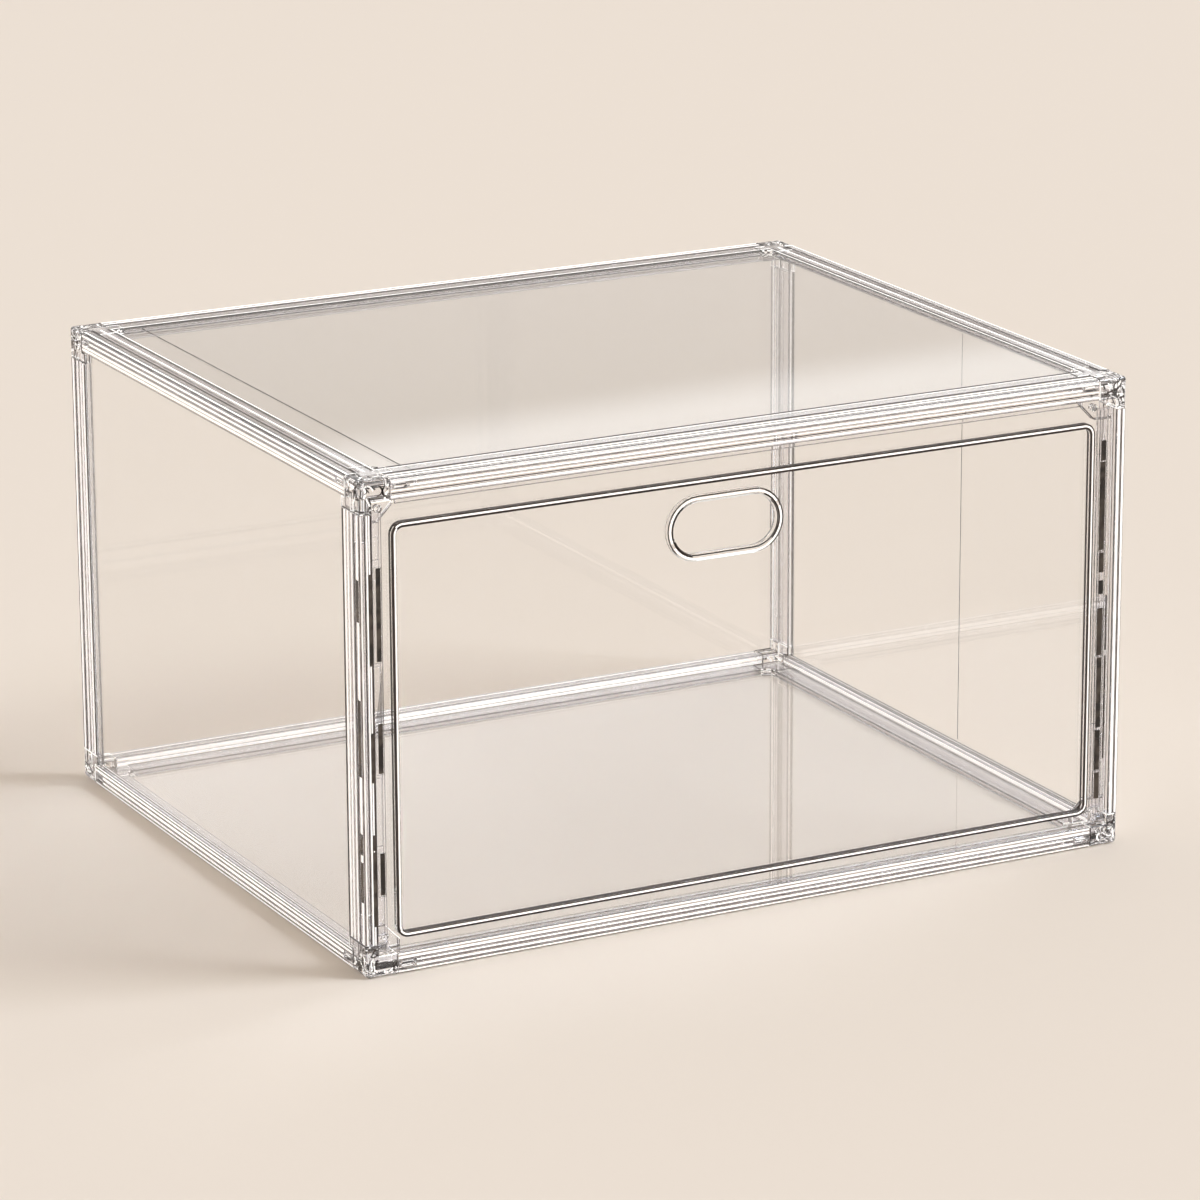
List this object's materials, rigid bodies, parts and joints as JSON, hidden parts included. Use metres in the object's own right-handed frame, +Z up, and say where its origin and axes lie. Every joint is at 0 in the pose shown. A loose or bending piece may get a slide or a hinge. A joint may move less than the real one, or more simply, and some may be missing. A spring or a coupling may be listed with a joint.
{
  "type": "shoe storage box",
  "caption": "Clear stackable shoe storage box: sheets held in a frame of rails, posts and corner connectors, with a drop-down front door that has an oval finger hole.",
  "frame": {"origin": "middle of the base, on the surface the box stands on", "axes": "+X to the right seen from the door, +Y from the door to the back, +Z up"},
  "size_m": [0.36, 0.3, 0.209],
  "materials": {
    "frame": "clear, polished",
    "sheet": "clear, polished",
    "door": "clear, polished",
    "pin": "clear"
  },
  "bodies": {
    "case": {"bottom_front_rail": "frame", "bottom_back_rail": "frame", "bottom_left_rail": "frame", "bottom_right_rail": "frame", "top_front_rail": "frame", "top_back_rail": "frame", "top_left_rail": "frame", "top_right_rail": "frame", "front_left_post": "frame", "front_right_post": "frame", "back_left_post": "frame", "back_right_post": "frame", "bottom_front_left_corner": "frame", "bottom_front_right_corner": "frame", "bottom_back_left_corner": "frame", "bottom_back_right_corner": "frame", "top_front_left_corner": "frame", "top_front_right_corner": "frame", "top_back_left_corner": "frame", "top_back_right_corner": "frame", "top_panel": "sheet", "bottom_panel": "sheet", "left_panel": "sheet", "right_panel": "sheet", "back_panel": "sheet", "left_hinge_pin": "pin", "right_hinge_pin": "pin"},
    "door": {"door_leaf": "door", "door_left_stile": "door", "door_right_stile": "door"}
  },
  "joints": [
    {"name": "door_hinge", "type": "hinge", "parent": "case", "child": "door", "pos_m": [0, -0.1466, 0.0116], "axis": [1, 0, 0], "range_deg": [0, 90]}
  ]
}
